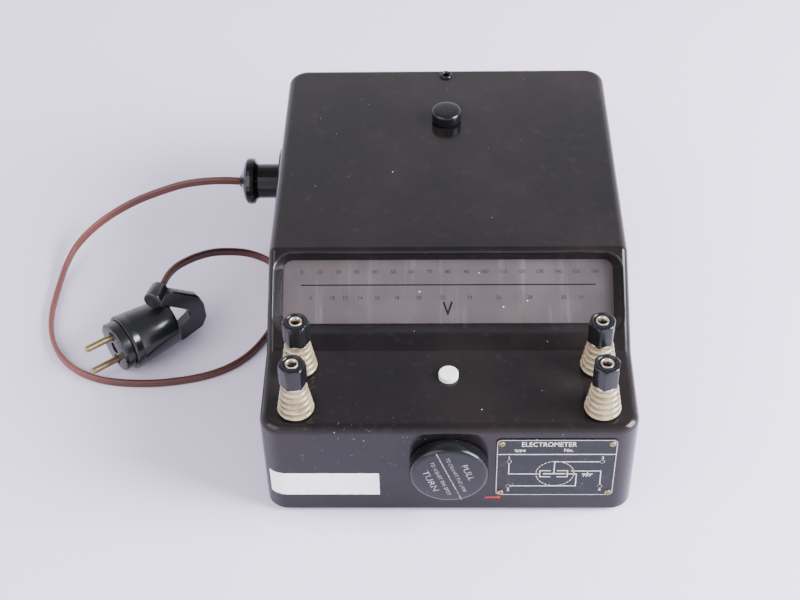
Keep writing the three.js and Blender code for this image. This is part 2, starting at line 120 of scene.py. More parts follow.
# ---- materials ----
class Finish:
    """A Principled material whose colour, roughness and bump are built up from noise."""

    def __init__(self, name, color, roughness, metallic=0.0, **sockets):
        self.name = name
        self.base = (*color, 1)
        self.material = bpy.data.materials.new(name)
        self.material.use_nodes = True
        self.material.diffuse_color = self.base
        self.tree = self.material.node_tree
        self.shader = self.tree.nodes["Principled BSDF"]
        sockets.update(Base_Color=self.base, Roughness=roughness, Metallic=metallic)
        for socket, value in sockets.items():
            self.shader.inputs[socket.replace("_", " ")].default_value = value
        self.color = None
        self.rough = None
        self.rough_base = roughness
        self.height = None
        self.coordinates = self.node("TexCoord").outputs["Object"]

    def node(self, kind, inputs=(), **settings):
        """A shader node of a kind, with (name, value) inputs."""
        made = self.tree.nodes.new("ShaderNode" + kind)
        for key, value in settings.items():
            setattr(made, key, value)
        for name, value in inputs:
            made.inputs[name].default_value = value
        return made

    def link(self, source, target):
        self.tree.links.new(source, target)

    def math(self, operation, a, b):
        made = self.node("Math", operation=operation)
        for socket, value in zip(made.inputs, (a, b)):
            if hasattr(value, "is_linked"):
                self.link(value, socket)
            else:
                socket.default_value = value
        return made.outputs[0]

    def stretched(self, scale):
        made = self.node("Mapping", [("Scale", scale)])
        self.link(self.coordinates, made.inputs["Vector"])
        return made.outputs[0]

    def noise(self, scale, detail=4, rough=0.5, stretch=(1, 1, 1)):
        made = self.node("TexNoise", [("Scale", scale), ("Detail", detail), ("Roughness", rough)])
        self.link(self.stretched(stretch), made.inputs["Vector"])
        return made.outputs["Fac"]

    def between(self, value, low, high, to_low=0.0, to_high=1.0):
        """value from low..high mapped to to_low..to_high, clamped and smooth."""
        limits = [("From Min", low), ("From Max", high), ("To Min", to_low), ("To Max", to_high)]
        made = self.node("MapRange", limits, interpolation_type="SMOOTHSTEP")
        self.link(value, made.inputs["Value"])
        return made.outputs["Result"]

    def specks(self, per_metre, radius, share):
        """Scattered round specks; share is how many of the cells hold one."""
        made = self.node("TexVoronoi", [("Scale", per_metre)])
        self.link(self.coordinates, made.inputs["Vector"])
        near = self.between(made.outputs["Distance"], radius * per_metre * 0.6, radius * per_metre, 1, 0)
        chosen = self.node("SeparateColor")
        self.link(made.outputs["Color"], chosen.inputs[0])
        picked = self.math("LESS_THAN", chosen.outputs[0], share)
        return self.math("MULTIPLY", near, picked)

    def zone(self, low, high, soft):
        """1 inside a box of the row frame, fading over soft metres outside it."""
        parts = self.node("SeparateXYZ")
        self.link(self.coordinates, parts.inputs[0])
        inside = None
        for axis, (a, b) in enumerate(zip(low, high)):
            rise = self.between(parts.outputs[axis], a - soft, a)
            fall = self.between(parts.outputs[axis], b, b + soft, 1, 0)
            both = self.math("MULTIPLY", rise, fall)
            inside = both if inside is None else self.math("MULTIPLY", inside, both)
        return inside

    def tint(self, mask, color):
        """Blends a colour over what is there, by mask."""
        made = self.node("Mix", data_type="RGBA")
        self.link(mask, made.inputs[0])
        if self.color is None:
            made.inputs[6].default_value = self.base
        else:
            self.link(self.color, made.inputs[6])
        made.inputs[7].default_value = (*color, 1)
        self.color = made.outputs[2]
        self.link(self.color, self.shader.inputs["Base Color"])
        return self

    def dull(self, mask, amount):
        """Adds amount of roughness, by mask."""
        change = self.math("MULTIPLY", mask, amount)
        self.rough = self.math("ADD", self.rough_base if self.rough is None else self.rough, change)
        self.link(self.rough, self.shader.inputs["Roughness"])
        return self

    def patches(self, color, noise, low, high, share=1.0):
        """Blends a colour in as a noise rises from low to high; noise holds the noise's arguments."""
        return self.tint(self.between(self.noise(*noise), low, high, 0, share), color)

    def haze(self, amount, noise, low, high):
        """Adds roughness as a noise rises from low to high."""
        return self.dull(self.between(self.noise(*noise), low, high), amount)

    def bump(self, height, distance, strength=1.0):
        made = self.node("Bump", [("Strength", strength), ("Distance", distance)])
        self.link(height, made.inputs["Height"])
        if self.height is not None:
            self.link(self.height, made.inputs["Normal"])
        self.height = made.outputs["Normal"]
        self.link(self.height, self.shader.inputs["Normal"])
        return self


def moulded_black():
    """Old glossy bakelite: slow waves, fine grain, dust specks and rubbed patches."""
    finish = Finish("case_black", (0.006, 0.0052, 0.0056), 0.13, IOR=1.34)
    finish.patches((0.016, 0.011, 0.011), (9, 5, 0.6), 0.4, 0.75, 0.8)
    finish.patches((0.024, 0.021, 0.021), (160, 3), 0.55, 0.8, 0.35)
    scuffed = finish.zone(at(-96, -3, 38), at(-22, 3, 66), 0.012)
    scratches = finish.between(finish.noise(260, 6, 0.75, (1, 1, 1.6)), 0.63, 0.72)
    finish.tint(finish.math("MULTIPLY", scuffed, scratches), (0.3, 0.3, 0.32))
    finish.tint(finish.specks(75, 0.0006, 0.16), (0.42, 0.38, 0.36))
    finish.tint(finish.specks(190, 0.00028, 0.12), (0.3, 0.28, 0.27))
    finish.haze(0.12, (28, 5, 0.65), 0.35, 0.75)
    finish.haze(0.06, (420, 2), 0.5, 0.8)
    finish.bump(finish.noise(22, 2), 0.0006, 0.25)
    finish.bump(finish.noise(900, 2), 0.00002, 0.2)
    return finish


def knob_black():
    finish = Finish("knob_black", (0.006, 0.006, 0.0075), 0.13, IOR=1.36)
    finish.patches((0.018, 0.016, 0.0155), (70, 5, 0.7), 0.5, 0.8, 0.6)
    finish.tint(finish.specks(420, 0.00022, 0.1), (0.25, 0.23, 0.22))
    finish.haze(0.15, (150, 4, 0.6), 0.4, 0.75)
    finish.bump(finish.noise(700, 3), 0.00002, 0.2)
    return finish


def plug_black():
    finish = Finish("plug_black", (0.007, 0.008, 0.0095), 0.2, IOR=1.6)
    finish.patches((0.02, 0.017, 0.014), (60, 5, 0.7), 0.5, 0.8, 0.7)
    finish.haze(0.1, (110, 4, 0.6), 0.45, 0.8)
    finish.bump(finish.noise(300, 4), 0.00003, 0.2)
    return finish


def amber():
    """Yellowed clear acrylic, cloudy towards its surface."""
    clear = {"IOR": 1.49, "Transmission_Weight": 0.2, "Coat_Weight": 0.8, "Coat_Roughness": 0.04}
    finish = Finish("amber_plastic", (0.44, 0.35, 0.22), 0.06, **clear)
    finish.patches((0.2, 0.135, 0.06), (140, 4, 0.6), 0.35, 0.75)
    finish.patches((0.95, 0.92, 0.83), (420, 3, 0.7), 0.58, 0.72, 0.8)
    finish.haze(0.12, (260, 3), 0.4, 0.7)
    finish.bump(finish.noise(420, 3), 0.00012, 0.5)
    return finish


def metal(name, color, roughness, stain, grain=(1, 1, 1)):
    finish = Finish(name, color, roughness, 1.0)
    finish.patches(stain, (130, 5, 0.7), 0.42, 0.8, 0.85)
    finish.haze(0.2, (300, 4, 0.6, grain), 0.3, 0.75)
    finish.bump(finish.noise(900, 3, 0.6, grain), 0.00003, 0.5)
    return finish


def plain(name, color, roughness, worn, **sockets):
    """A moulded or painted surface with a little mottling."""
    finish = Finish(name, color, roughness, **sockets)
    finish.patches(worn, (120, 5, 0.65), 0.4, 0.8, 0.8)
    finish.haze(0.15, (240, 3), 0.35, 0.75)
    finish.bump(finish.noise(800, 3), 0.00004, 0.5)
    return finish


def frosted():
    """The scale's ground glass: grey with brown clouds, faint streaks down it, and dust."""
    finish = Finish("frosted_glass", (0.066, 0.052, 0.056), 0.4, IOR=1.45)
    finish.patches((0.052, 0.042, 0.041), (14, 5, 0.6), 0.42, 0.65, 0.8)
    finish.patches((0.13, 0.118, 0.126), (150, 4, 0.7, (1, 0.06, 0.06)), 0.52, 0.75, 0.55)
    finish.patches((0.04, 0.033, 0.036), (600, 3, 0.7), 0.55, 0.8, 0.35)
    finish.tint(finish.specks(140, 0.0005, 0.09), (0.7, 0.66, 0.64))
    finish.patches((0.035, 0.028, 0.029), (5, 3, 0.6), 0.5, 0.75, 0.7)
    finish.haze(0.2, (60, 4), 0.4, 0.7)
    finish.bump(finish.noise(1500, 2), 0.00002, 0.5)
    return finish


def plate_black():
    finish = Finish("nameplate_black", (0.008, 0.009, 0.011), 0.24, IOR=1.32)
    finish.patches((0.03, 0.027, 0.027), (90, 5, 0.7), 0.5, 0.8, 0.7)
    finish.tint(finish.specks(320, 0.0003, 0.12), (0.4, 0.38, 0.36))
    finish.haze(0.2, (200, 4), 0.35, 0.75)
    finish.bump(finish.noise(1200, 2), 0.00002, 0.5)
    return finish


def inlay():
    """Bare metal lines and letters, dirty in places."""
    finish = Finish("pale_lines", (0.72, 0.69, 0.6), 0.4, 0.1)
    finish.patches((0.36, 0.33, 0.28), (420, 4, 0.7), 0.45, 0.8, 0.6)
    return finish


def rubbed_inlay():
    """Paint in engraved lettering, half gone."""
    finish = Finish("worn_lettering", (0.3, 0.3, 0.28), 0.5)
    finish.patches((0.035, 0.034, 0.035), (800, 4, 0.7), 0.42, 0.62)
    return finish


def ink(name, color, faded):
    finish = Finish(name, color, 0.6, IOR=1.25)
    finish.patches(faded, (700, 4, 0.7), 0.4, 0.7)
    return finish


def paper():
    """A paper label whose writing has nearly gone."""
    finish = Finish("paper_label", (0.95, 0.95, 0.94), 0.6)
    finish.patches((0.88, 0.87, 0.85), (60, 5, 0.6), 0.45, 0.8, 0.7)
    smudge = finish.math(
        "MULTIPLY",
        finish.between(finish.noise(480, 5, 0.75, (1, 1, 0.7)), 0.6, 0.68),
        finish.zone(at(-101, -3, 16), at(-52, 3, 29), 0.004),
    )
    finish.tint(smudge, (0.4, 0.42, 0.46))
    finish.bump(finish.noise(500, 4), 0.00005, 0.5)
    return finish


def cord_brown():
    """PVC flex with fine wrinkles, and painted light that makes the left-hand stretch of its loop lighter
    and redder.
    """
    finish = Finish("cord_brown", (0.075, 0.024, 0.018), 0.36, IOR=1.45)
    # Painted light: the stretch of lead at the left of its loop is made lighter and redder.
    finish.tint(finish.zone(at(-330, 100, -10), at(-250, 235, 60), 0.04), (0.2, 0.062, 0.052))
    finish.patches((0.1, 0.033, 0.026), (16, 3), 0.45, 0.8, 0.5)
    finish.patches((0.05, 0.02, 0.016), (350, 4, 0.7), 0.52, 0.8, 0.6)
    finish.haze(0.2, (500, 3), 0.35, 0.75)
    finish.bump(finish.noise(700, 3), 0.00008, 0.5)
    return finish


def copper():
    finish = Finish("copper_coil", (0.26, 0.085, 0.03), 0.42)
    turns = finish.node("TexWave", [("Scale", 420), ("Distortion", 0.6)], bands_direction="Z")
    finish.link(finish.coordinates, turns.inputs["Vector"])
    finish.tint(finish.between(turns.outputs["Fac"], 0.2, 0.8), (0.42, 0.16, 0.06))
    finish.bump(turns.outputs["Fac"], 0.0002, 0.8)
    return finish


def laminated():
    finish = Finish("core_iron", (0.05, 0.05, 0.055), 0.5, 0.7)
    sheets = finish.node("TexWave", [("Scale", 320)], bands_direction="Y")
    finish.link(finish.coordinates, sheets.inputs["Vector"])
    finish.tint(finish.between(sheets.outputs["Fac"], 0.4, 0.7), (0.1, 0.095, 0.09))
    finish.patches((0.12, 0.055, 0.03), (150, 4, 0.7), 0.6, 0.8)
    finish.bump(sheets.outputs["Fac"], 0.0001, 0.6)
    return finish


FINISHES = [
    moulded_black(),
    knob_black(),
    plug_black(),
    amber(),
    metal("brass", (0.34, 0.26, 0.14), 0.28, (0.13, 0.095, 0.055)),
    metal("nickel", (0.68, 0.62, 0.54), 0.2, (0.42, 0.34, 0.26)),
    metal("sheet_steel", (0.42, 0.43, 0.45), 0.34, (0.2, 0.19, 0.17), (1, 0.1, 1)),
    metal("vane_aluminium", (0.7, 0.7, 0.72), 0.25, (0.5, 0.5, 0.5)),
    metal("mirror", (0.85, 0.87, 0.88), 0.02, (0.7, 0.72, 0.72)),
    plain("white_plastic", (0.93, 0.92, 0.88), 0.3, (0.8, 0.76, 0.66)),
    plain("foot_rubber", (0.02, 0.02, 0.02), 0.7, (0.06, 0.055, 0.05)),
    plain("clear_glass", (0.93, 0.95, 0.95), 0.02, (0.85, 0.87, 0.86), Transmission_Weight=0.9),
    frosted(),
    plate_black(),
    cord_brown(),
    laminated(),
    copper(),
    inlay(),
    rubbed_inlay(),
    paper(),
    ink("scale_ink", (0.016, 0.013, 0.015), (0.045, 0.037, 0.04)),
    ink("line_ink", (0.001, 0.003, 0.003), (0.008, 0.007, 0.008)),
    ink("red_paint", (0.42, 0.02, 0.02), (0.2, 0.03, 0.03)),
]
MATERIALS = {finish.name: finish.material for finish in FINISHES}


# ---- meshes ----
def made(name, bm, matrix, finish, replaces=(), smooth=35, body="case", slot=None):
    """Turns a bmesh into a piece that rides on a body, in the finish's material; slot is not used."""
    bm.transform(matrix)
    bmesh.ops.recalc_face_normals(bm, faces=bm.faces)
    mesh = mesh_of(name, bm)
    mesh.polygons.foreach_set("use_smooth", [True] * len(mesh.polygons))
    mesh.set_sharp_from_angle(angle=math.radians(smooth))
    mesh.materials.append(MATERIALS[finish])
    piece = linked(name, mesh)
    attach(piece, body)
    if replaces:
        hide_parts(*replaces)
    return piece


def lathe(profile, segments=64):
    """Turns [radius, height] points about Z; a point at radius 0 closes an end."""
    bm = bmesh.new()
    rings = []
    for radius, height in profile:
        if radius == 0:
            rings.append([bm.verts.new((0, 0, height))])
            continue
        turns = [i * math.tau / segments for i in range(segments)]
        rings.append([bm.verts.new((radius * math.cos(t), radius * math.sin(t), height)) for t in turns])
    for a, b in zip(rings, rings[1:]):
        bridge(bm, a, b)
    return bm


def bridge(bm, a, b):
    """Faces between two rings; either may be a single point."""
    count = max(len(a), len(b))
    for i in range(count):
        j = (i + 1) % count
        corners = [a[i % len(a)], a[j % len(a)], b[j % len(b)], b[i % len(b)]]
        unique = [c for n, c in enumerate(corners) if c not in corners[:n]]
        if len(unique) > 2:
            bm.faces.new(unique)


def loft(loops):
    """Joins loops with the same number of points and closes both ends."""
    bm = bmesh.new()
    rings = [[bm.verts.new(p) for p in loop] for loop in loops]
    for a, b in zip(rings, rings[1:]):
        bridge(bm, a, b)
    bm.faces.new(list(reversed(rings[0])))
    bm.faces.new(rings[-1])
    return bm


def arc(cx, cy, radius, start, end, steps=6):
    """Points on a circle, from start to end degrees."""
    angles = [math.radians(start + (end - start) * i / steps) for i in range(steps + 1)]
    return [(cx + radius * math.cos(a), cy + radius * math.sin(a)) for a in angles]


def rounded(half_x, half_y, radius, steps=6):
    """A rounded rectangle's outline about the origin."""
    x, y = half_x - radius, half_y - radius
    corners = [(x, y, 0), (-x, y, 90), (-x, -y, 180), (x, -y, 270)]
    return [p for cx, cy, start in corners for p in arc(cx, cy, radius, start, start + 90, steps)]


def hull(points):
    """The convex hull of some points."""
    bm = bmesh.new()
    for point in points:
        bm.verts.new(point)
    result = bmesh.ops.convex_hull(bm, input=bm.verts)
    spare = result["geom_interior"] + result["geom_unused"]
    inside = {v for v in spare if isinstance(v, bmesh.types.BMVert)}
    bmesh.ops.delete(bm, geom=list(inside), context="VERTS")
    return bm


def block(low, high):
    bm = bmesh.new()
    size = Vector(high) - Vector(low)
    centre = (Vector(high) + Vector(low)) / 2
    matrix = Matrix.Translation(centre) @ Matrix.Diagonal((*size, 1))
    bmesh.ops.create_cube(bm, size=1, matrix=matrix)
    return bm


def moved(bm, matrix):
    bm.transform(matrix)
    return bm


def shifted(bm, x, y, degrees=0.0):
    """Turned about Z, then moved in the XY plane."""
    return moved(bm, Matrix.Translation((x, y, 0)) @ turned(degrees))


def merged(*parts):
    """One bmesh that holds several, left as separate shells."""
    whole = bmesh.new()
    for part in parts:
        mesh = mesh_of("part", part)
        whole.from_mesh(mesh)
        bpy.data.meshes.remove(mesh)
    return whole


def scratch(bm):
    """A short-lived object that holds a bmesh, for the boolean modifier."""
    bmesh.ops.recalc_face_normals(bm, faces=bm.faces)
    return linked("scratch", mesh_of("scratch", bm))


def evaluated_mesh(item):
    """What an object looks like once its modifiers or its curve are worked out."""
    evaluated = item.evaluated_get(bpy.context.evaluated_depsgraph_get())
    return bpy.data.meshes.new_from_object(evaluated)


def carved(body, join=(), cut=()):
    """Joins some closed bmeshes to one and then cuts others out of it, exactly."""
    item = scratch(body)
    for operation, tool in [("UNION", part) for part in join] + [("DIFFERENCE", part) for part in cut]:
        other = scratch(tool)
        modifier = item.modifiers.new("boolean", "BOOLEAN")
        modifier.operation = operation
        modifier.solver = "EXACT"
        modifier.object = other
        mesh = evaluated_mesh(item)
        item.modifiers.clear()
        old, item.data = item.data, mesh
        bpy.data.meshes.remove(old)
        bpy.data.meshes.remove(other.data)
    result = bmesh.new()
    result.from_mesh(item.data)
    bpy.data.meshes.remove(item.data)
    bmesh.ops.remove_doubles(result, verts=result.verts, dist=1e-4)
    bmesh.ops.dissolve_limit(result, angle_limit=math.radians(0.4), verts=result.verts, edges=result.edges)
    return result


def smooth_shaded(piece):
    """Keeps large flat faces flat where they meet small rounded ones."""
    modifier = piece.modifiers.new("weighted normals", "WEIGHTED_NORMAL")
    modifier.keep_sharp = True
    modifier.weight = 100


# ---- the case ----
WALL = 4
DECK = 71
# The foot and crest of the slope, and the top's rear edge, as (distance back, height).
FOOT = (61, 71)
CREST = (115, 104)
REAR = (306, 98)
HALF = 108
CORNER = 13
EDGE = 5
# The floor inside, which the screw posts and the rear pillar stand on.
BENCH = 2.9
POCKET_BACK = 8.5
SLOPE = math.atan2(CREST[1] - FOOT[1], CREST[0] - FOOT[0])
FALL = math.atan2(REAR[1] - CREST[1], REAR[0] - CREST[0])

IN_CASE = placed(0, 0, 0)
ALONG_Y = turned(-90, "X")
ALONG_LEFT = turned(-90, "Y")
TERMINALS = [(-87, 15), (-87, 48), (87, 15), (87, 48)]
BUTTON = (0, 40.5)
LAMP_Z = 41
HEAD_Y = 245
FERRULE_Y = 297
INLET = (237.5, 55)
SCREW_SPOTS = [(-99, 85), (99, 85), (-99, 285), (99, 285), (-62, 9), (62, 9)]


def top_height(y):
    """The height of the case's top, which falls towards the rear."""
    return CREST[1] + (y - CREST[0]) * math.tan(FALL)


def on_slope(bm):
    """From slope-local millimetres (across, up the slope, outwards) to the case's."""
    return moved(bm, Matrix.Translation((0, *FOOT)) @ Matrix.Rotation(SLOPE, 4, "X"))


def post(x, y, floor, top, radius, fillet):
    """Points of an upright post whose top edge is rounded over."""
    points = []
    for i in range(72):
        turn = i * math.tau / 72
        c, s = math.cos(turn), math.sin(turn)
        points.append((x + radius * c, y + radius * s, floor))
        for j in range(9):
            lift = j * math.pi / 16
            reach = radius - fillet + fillet * math.cos(lift)
            points.append((x + reach * c, y + reach * s, top - fillet + fillet * math.sin(lift)))
    return points


def ball(x, y, z, radius):
    """Points of a sphere."""
    points = []
    for j in range(25):
        lift = -math.pi / 2 + j * math.pi / 24
        reach, height = radius * math.cos(lift), radius * math.sin(lift)
        for i in range(48):
            turn = i * math.tau / 48
            points.append((x + reach * math.cos(turn), y + reach * math.sin(turn), z + height))
    return points


def offset_line(point, angle, depth):
    """A line in the side view, below another by depth, as a point and a direction."""
    start = (point[0] + depth * math.sin(angle), point[1] - depth * math.cos(angle))
    return start, (math.cos(angle), math.sin(angle))


def meet(a, b):
    """Where two such lines cross."""
    (ay, az), (ady, adz) = a
    (by, bz), (bdy, bdz) = b
    t = ((by - ay) * bdz - (bz - az) * bdy) / (ady * bdz - adz * bdy)
    return ay + t * ady, az + t * adz


def case_form(inset, floor):
    """The outer form with each face moved inwards, as a front and a rear convex half."""
    side = HALF - inset
    corner = CORNER - inset
    edge = max(EDGE - inset, 1)
    deck = DECK - inset
    slope_line = offset_line(FOOT, SLOPE, inset + edge)
    crest = meet(slope_line, offset_line(CREST, FALL, inset + edge))
    low = [slope_line[0][n] - 10 * slope_line[1][n] for n in (0, 1)]
    rear_y = REAR[0] - inset - corner
    front, rear = [], []
    for way in (-1, 1):
        front += post(way * (side - corner), inset + corner, floor, deck, corner, edge)
        front += ball(way * (side - edge), FOOT[0] + 14, deck - edge, edge)
        front.append((way * side, FOOT[0] + 14, floor))
        rear += ball(way * (side - edge), *low, edge)
        rear += ball(way * (side - edge), *crest, edge)
        rear += post(way * (side - corner), rear_y, floor, top_height(rear_y) - inset, corner, edge)
        rear.append((way * side, FOOT[0] - 10, floor))
    return hull(front), hull(rear)


def pocket_form():
    """The scale's recess: a rim rounded over, sloping walls and a rounded foot."""
    rim, foot, depth = 2.6, 2.0, 9.0
    half_width, low_edge, high_edge, corner = 103.5, 11.5, 59.5, 10
    # How far the end walls, lower wall, upper wall and corner radius have come in at the bottom.
    end_lean, low_lean, high_lean, corner_lean = 5.0, 8.5, 1.5, 5
    sections = [(-6.0, 3.0), (-rim, 0.8), (-rim, 0)]
    for i in range(1, 7):
        a = i * math.pi / 12
        sections.append((-rim * (1 - math.sin(a)), -rim * (1 - math.cos(a))))
    wall_end = end_lean - foot * 0.6
    sections.append((wall_end, -depth + foot))
    for i in range(1, 5):
        a = i * math.pi / 8
        sections.append((wall_end + foot * 0.6 * (1 - math.cos(a)), -depth + foot * (1 - math.sin(a))))
    loops = []
    for inward, z in sections:
        if inward > 0:
            share = inward / end_lean
            low, high = low_edge + low_lean * share, high_edge - high_lean * share
            radius = corner - corner_lean * share
        else:
            low, high, radius = low_edge + inward, high_edge - inward, corner - inward
        outline = rounded(half_width - inward, (high - low) / 2, radius, 8)
        loops.append([(x, y + (high + low) / 2, z) for x, y in outline])
    return on_slope(loft(loops))


def rod(radius, low, high, segments=48):
    """A cylinder about Z."""
    return lathe([(0, low), (radius, low), (radius, high), (0, high)], segments)


def column(x, y, radius, low, high, segments=48):
    return moved(rod(radius, low, high, segments), Matrix.Translation((x, y, 0)))


def add_case():
    """The moulded shell: two convex halves joined, hollowed, and cut for all that passes through."""
    lamp_hole, inlet_hole, button_hole, stud_hole = 17.7, 13.4, 6.05, 5.4
    head_hole, ferrule_hole, boss, screw_hole = 4.4, 3.4, 6, 1.7
    front, rear = case_form(0, 0)
    inner_front, inner_rear = case_form(WALL, -1)
    surround = on_slope(block((-110, 7, -POCKET_BACK), (110, 61, -1)))
    solid_inside = [surround, *(column(x, y, boss, BENCH, 40, 24) for x, y in SCREW_SPOTS)]
    cavity = carved(inner_front, [inner_rear], solid_inside)
    holes = [
        pocket_form(),
        moved(rod(lamp_hole, -1, 5, 72), Matrix.Translation((0, 0, LAMP_Z)) @ ALONG_Y),
        moved(rod(inlet_hole, HALF - 5, HALF + 1), Matrix.Translation((0, *INLET)) @ ALONG_LEFT),
        column(*BUTTON, button_hole, DECK - 5, DECK + 1),
        column(0, HEAD_Y, head_hole, 88, 104, 32),
        column(0, FERRULE_Y, ferrule_hole, 88, 104, 32),
        *(column(x, y, stud_hole, DECK - 5, DECK + 1, 32) for x, y in TERMINALS),
        *(column(x, y, screw_hole, 0, 18, 16) for x, y in SCREW_SPOTS),
    ]
    shell = carved(front, [rear], [cavity, *holes])
    smooth_shaded(made("case_shell", shell, IN_CASE, "case_black", ["housing"], 30))


# ---- lead ----
# The lead's middle line, from the connector's collar to the plug's sleeve.
ROUTE = [
    (-141.2, 237.5, 55), (-150, 238, 55), (-160, 239, 54), (-172, 240.5, 51.5), (-184, 242, 47.5),
    (-199, 243, 41), (-214, 243, 34), (-228, 241.5, 26.5), (-241, 238, 19), (-252, 232, 12),
    (-260, 223, 6.5), (-264.5, 211, 2.5), (-266.5, 197, 0), (-267.5, 182, -1), (-267.2, 166, -1),
    (-264.8, 150, -1), (-259.5, 135, -1), (-250.5, 121.5, -1), (-238, 111, -1), (-221, 104, -1),
    (-199, 101.5, -1), (-177.5, 103, -1), (-157, 108, -1), (-141.5, 116, -1), (-130, 127, -1),
    (-121, 142, -1), (-115.5, 158, -1), (-112.8, 175, -1), (-112.2, 190, -1), (-114.8, 202, 0.2),
    (-121, 211, 2.6), (-129.8, 215.3, 5.2), (-139.5, 214.6, 9.6), (-149.5, 209.2, 15.6),
    (-158.5, 200.6, 22.8), (-166.5, 190, 29.4), (-174, 177.5, 35.5), (-179, 168, 38.8),
    (-182.5, 159, 40.2), (-184.7, 150.4, 40.2),
]


def smooth_line(points, steps):
    """Points along a Catmull-Rom curve through the given ones."""
    points = [Vector(p) for p in points]
    ends = [2 * points[0] - points[1], *points, 2 * points[-1] - points[-2]]
    line = []
    for a, b, c, d in zip(ends, ends[1:], ends[2:], ends[3:]):
        for i in range(steps):
            t = i / steps
            square = (2 * a - 5 * b + 4 * c - d) * t**2
            cube = (3 * b - a - 3 * c + d) * t**3
            line.append(0.5 * ((2 * b) + (c - a) * t + square + cube))
    line.append(points[-1])
    return line


def add_lead():
    """Flat twin flex that stands on its edge: two round cores with a groove between them."""
    line = smooth_line(ROUTE, 6)
    core = arc(1.3, 0, 1.6, -114, 114, 10)
    section = core + [(-w, -s) for w, s in core]
    loops = []
    for i, point in enumerate(line):
        ahead = (line[min(i + 1, len(line) - 1)] - line[max(i - 1, 0)]).normalized()
        side = ahead.cross(Vector((0, 0, 1))).normalized()
        upward = side.cross(ahead)
        loops.append([point + upward * w + side * s for w, s in section])
    lead = made("flat_lead", loft(loops), IN_CASE, "cord_brown", ["mains_cord"], 60)


# ---- plug ----
PLUG_PLACE = (-214.8, 117.5, 15.6)
PLUG_HEADING = 38
PLUG_LEAN = 5
PIN_OFFSET = 9.5


def plug_matrix():
    """The plug's own axes: X up, Y across and Z along the pins, from the middle of its face."""
    heading, lean = math.radians(PLUG_HEADING), math.radians(PLUG_LEAN)
    pins = Vector((-math.cos(heading), -math.sin(heading), 0))
    level = Vector((-math.sin(heading), math.cos(heading), 0))
    up = level * math.sin(lean) + Vector((0, 0, math.cos(lean)))
    side = pins.cross(up)
    axes = Matrix((up, side, pins)).transposed().to_4x4()
    return Matrix.Translation(at(*PLUG_PLACE)) @ axes @ Matrix.Scale(MM, 4)


def bevelled_slab(outline, half, edge):
    """A flat plate across Y with its rims chamfered; outline is in X and Z."""
    centre = Vector((sum(p[0] for p in outline), sum(p[1] for p in outline))) / len(outline)
    spokes = [Vector(p) - centre for p in outline]
    inner = [centre + spoke * (1 - edge / spoke.length) for spoke in spokes]
    sections = [(inner, -half), (outline, -half + edge), (outline, half - edge), (inner, half)]
    return loft([[(x, y, z) for x, z in loop] for loop, y in sections])


def softened(points, radius, steps=5):
    """Rounds the corners of a closed outline."""
    soft = []
    count = len(points)
    for i, p in enumerate(points):
        before, after = Vector(points[i - 1]), Vector(points[(i + 1) % count])
        corner = Vector(p)
        reach = min(radius, (before - corner).length * 0.45, (after - corner).length * 0.45)
        a = corner + (before - corner).normalized() * reach
        b = corner + (after - corner).normalized() * reach
        for j in range(steps + 1):
            t = j / steps
            soft.append(tuple(a * (1 - t) ** 2 + corner * 2 * t * (1 - t) + b * t**2))
    return soft


def plug_drum():
    """The round body, with a groove and a lip round its front."""
    back = [(0, -41.5), (12.6, -41.5), *arc(13.3, -39.0, 2.5, -90, 0, 6), (16.1, -37), (18.1, -13.6)]
    groove = [(18.0, -13.4), (17.9, -13.2), (17.9, -13.0), (18.0, -12.8), (18.3, -12.6)]
    lip = [(18.6, -9.4), (18.7, -8.2), (18.4, -7.3), (17.9, -7.0), (16.9, -7.0), (16.7, -7.6), (0, -7.6)]
    return lathe([*back, *groove, *lip], 96)


def plug_loop():
    """The flat finger loop behind the body."""
    upper = [(14, -36), (23, -38), (23.5, -46), (10, -63.5), (1.5, -66.5)]
    lower = [(-9.5, -66.5), (-15.5, -62.5), (-19, -46), (-14, -36)]
    window = softened([(13.5, -42), (3, -55), (-3, -55.5), (-9, -42)], 1.2)
    cutter = loft([[(x, y, z) for x, z in window] for y in (-9, 9)])
    return carved(bevelled_slab(softened(upper + lower, 1.6), 3.6, 0.9), cut=[cutter])


def plug_sleeve():
    """The short collar that the lead goes into."""
    ends = [*arc(5.4, -4.2, 0.8, -90, 0, 4), *arc(5.4, 7.2, 0.8, 0, 90, 4)]
    sleeve = lathe([(0, -5), (5.4, -5), *ends, (0, 8)], 48)
    return moved(sleeve, Matrix.Translation((25, 0, -37)) @ turned(37, "X"))


def add_plug():
    matrix = plug_matrix()
    whole = carved(plug_drum(), join=[plug_loop(), plug_sleeve()])
    made("plug_body", whole, matrix, "plug_black", ["plug_cover"], 40, slot="knob_black")
    edge = arc(15.7, -0.8, 0.8, 0, 90, 4)
    disc = lathe([(0, -6.7), (16.5, -6.7), (16.5, -0.9), *edge, (4, 0), (4, -0.9), (0, -0.9)], 72)
    cuts = [
        *(column(x, 0, 3.4, -0.7, 1, 32) for x in (PIN_OFFSET, -PIN_OFFSET)),
        block((-3, 14.6, -1.6), (3, 18, 1)),
        block((-3, -18, -1.6), (3, -14.6, 1)),
    ]
    face = carved(disc, cut=cuts)
    made("plug_face", face, matrix, "plug_black", ["plug_base"], 40, slot="knob_black")
    pins = (("plug_pin_a", "plug_pin_1", PIN_OFFSET), ("plug_pin_b", "plug_pin_2", -PIN_OFFSET))
    for name, node, x in pins:
        pin = lathe([(0, -0.6), (2.2, -0.6), (2.2, 17.2), *arc(0.4, 17.5, 1.8, 10, 80, 6), (0, 19.3)], 40)
        made(name, shifted(pin, x, 0), matrix, "brass", [node], 40)


